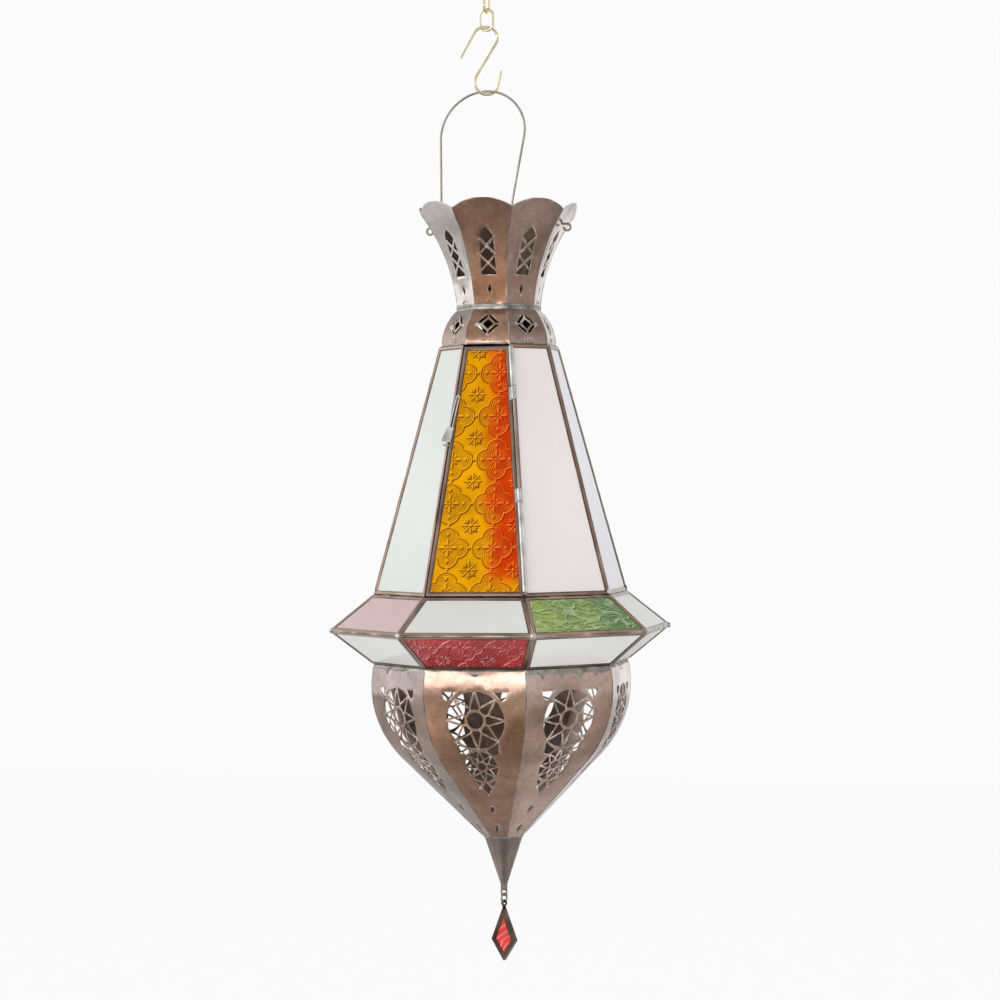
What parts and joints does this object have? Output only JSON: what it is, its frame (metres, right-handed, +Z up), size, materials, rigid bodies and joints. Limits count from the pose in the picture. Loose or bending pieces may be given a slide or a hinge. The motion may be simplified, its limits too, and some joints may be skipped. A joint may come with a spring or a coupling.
{
  "type": "hanging candle lantern",
  "caption": "Octagonal hanging candle lantern of pierced copper sheet and coloured glass with a hinged door, flared crown, wire bail, hook, chain links and a kite-shaped drop.",
  "frame": {"origin": "the hang eye: the inner top of the upper chain link, where the lantern is hung", "axes": "+Z up along the lantern's axis, -Y out through the door, +X towards the bail's right ear"},
  "size_m": [0.2244, 0.2244, 0.68],
  "materials": {
    "copper_sheet": "antique copper sheet, brown patina, worn bright on edges",
    "brass_wire": "bright pale brass",
    "iron_wire": "dark annealed wire",
    "solder": "dull grey solder",
    "tin": "bright tinned sheet",
    "opal_glass": "glossy white opal",
    "amber_glass": "pressed glass, amber running into red",
    "green_glass": "mottled green",
    "pink_glass": "mauve pink opal",
    "red_glass": "dark red pressed glass"
  },
  "bodies": {
    "hang_link": {"chain_link_upper": "brass_wire"},
    "lower_link": {"chain_link_lower": "brass_wire"},
    "hook": {"s_hook": "brass_wire"},
    "bail": {"bail_handle": "iron_wire"},
    "lantern": {"neck_band": "solder", "shoulder_gores": "copper_sheet", "upper_apron_frames": "copper_sheet", "lower_apron_frames": "copper_sheet", "upper_panes_white": "opal_glass", "upper_panes_green": "green_glass", "upper_panes_pink": "pink_glass", "lower_panes_white": "opal_glass", "lower_panes_red": "red_glass", "hinge_tubes": "tin", "spike_cone": "copper_sheet", "drop_strap": "copper_sheet", "candle_bridge": "copper_sheet", "drip_dish": "copper_sheet", "candle_cup": "tin", "crown_petal_0": "copper_sheet", "bowl_gore_0": "copper_sheet", "crown_petal_1": "copper_sheet", "bowl_gore_1": "copper_sheet", "crown_petal_2": "copper_sheet", "bowl_gore_2": "copper_sheet", "crown_petal_3": "copper_sheet", "bowl_gore_3": "copper_sheet", "crown_petal_4": "copper_sheet", "bowl_gore_4": "copper_sheet", "crown_petal_5": "copper_sheet", "bowl_gore_5": "copper_sheet", "crown_petal_6": "copper_sheet", "bowl_gore_6": "copper_sheet", "crown_petal_7": "copper_sheet", "bowl_gore_7": "copper_sheet", "side_frame_1": "copper_sheet", "side_pane_1": "opal_glass", "side_frame_2": "copper_sheet", "side_pane_2": "opal_glass", "side_frame_3": "copper_sheet", "side_pane_3": "opal_glass", "side_frame_4": "copper_sheet", "side_pane_4": "opal_glass", "side_frame_5": "copper_sheet", "side_pane_5": "opal_glass", "side_frame_6": "copper_sheet", "side_pane_6": "opal_glass", "side_frame_7": "copper_sheet", "side_pane_7": "opal_glass"},
    "door": {"door_frame": "copper_sheet", "door_pane": "amber_glass", "hinge_lugs": "copper_sheet", "hinge_pin": "iron_wire", "latch_pin": "brass_wire", "latch_stop": "iron_wire"},
    "latch": {"latch_wire": "iron_wire", "latch_tab": "tin"},
    "ring": {"drop_ring": "iron_wire"},
    "drop": {"drop_frame": "copper_sheet", "drop_glass": "red_glass"}
  },
  "joints": [
    {"name": "link_swing", "type": "hinge", "parent": "hang_link", "child": "lower_link", "pos_m": [0, 0, -0.0141], "axis": [0.1392, 0.9903, 0], "range_deg": [-30, 30]},
    {"name": "hook_swing", "type": "hinge", "parent": "lower_link", "child": "hook", "pos_m": [0, 0, -0.0269], "axis": [0.9903, -0.1392, 0], "range_deg": [-14, 14]},
    {"name": "bail_swing", "type": "hinge", "parent": "hook", "child": "bail", "pos_m": [-0.0002, -0.00014, -0.07169], "axis": [0.8192, 0.5736, 0], "range_deg": [-25, 25]},
    {"name": "bail_tilt", "type": "hinge", "parent": "bail", "child": "lantern", "pos_m": [0.00721, -0.00014, -0.16404], "axis": [1, 0, 0], "range_deg": [-55, 55]},
    {"name": "door_hinge", "type": "hinge", "parent": "lantern", "child": "door", "pos_m": [0.03336, -0.06326, -0.33405], "axis": [-0.1027, 0.2478, 0.9633], "range_deg": [0, 115]},
    {"name": "latch_turn", "type": "hinge", "parent": "door", "child": "latch", "pos_m": [-0.01083, -0.04862, -0.2852], "axis": [0, -0.9685, 0.2492], "range_deg": [0, 65]},
    {"name": "ring_swing", "type": "hinge", "parent": "lantern", "child": "ring", "pos_m": [0.00721, -0.00014, -0.63044], "axis": [0, 1, 0], "range_deg": [-25, 25]},
    {"name": "drop_swing", "type": "hinge", "parent": "ring", "child": "drop", "pos_m": [0.00721, -0.00014, -0.63774], "axis": [-0.3746, -0.9272, 0], "range_deg": [-30, 30]}
  ]
}
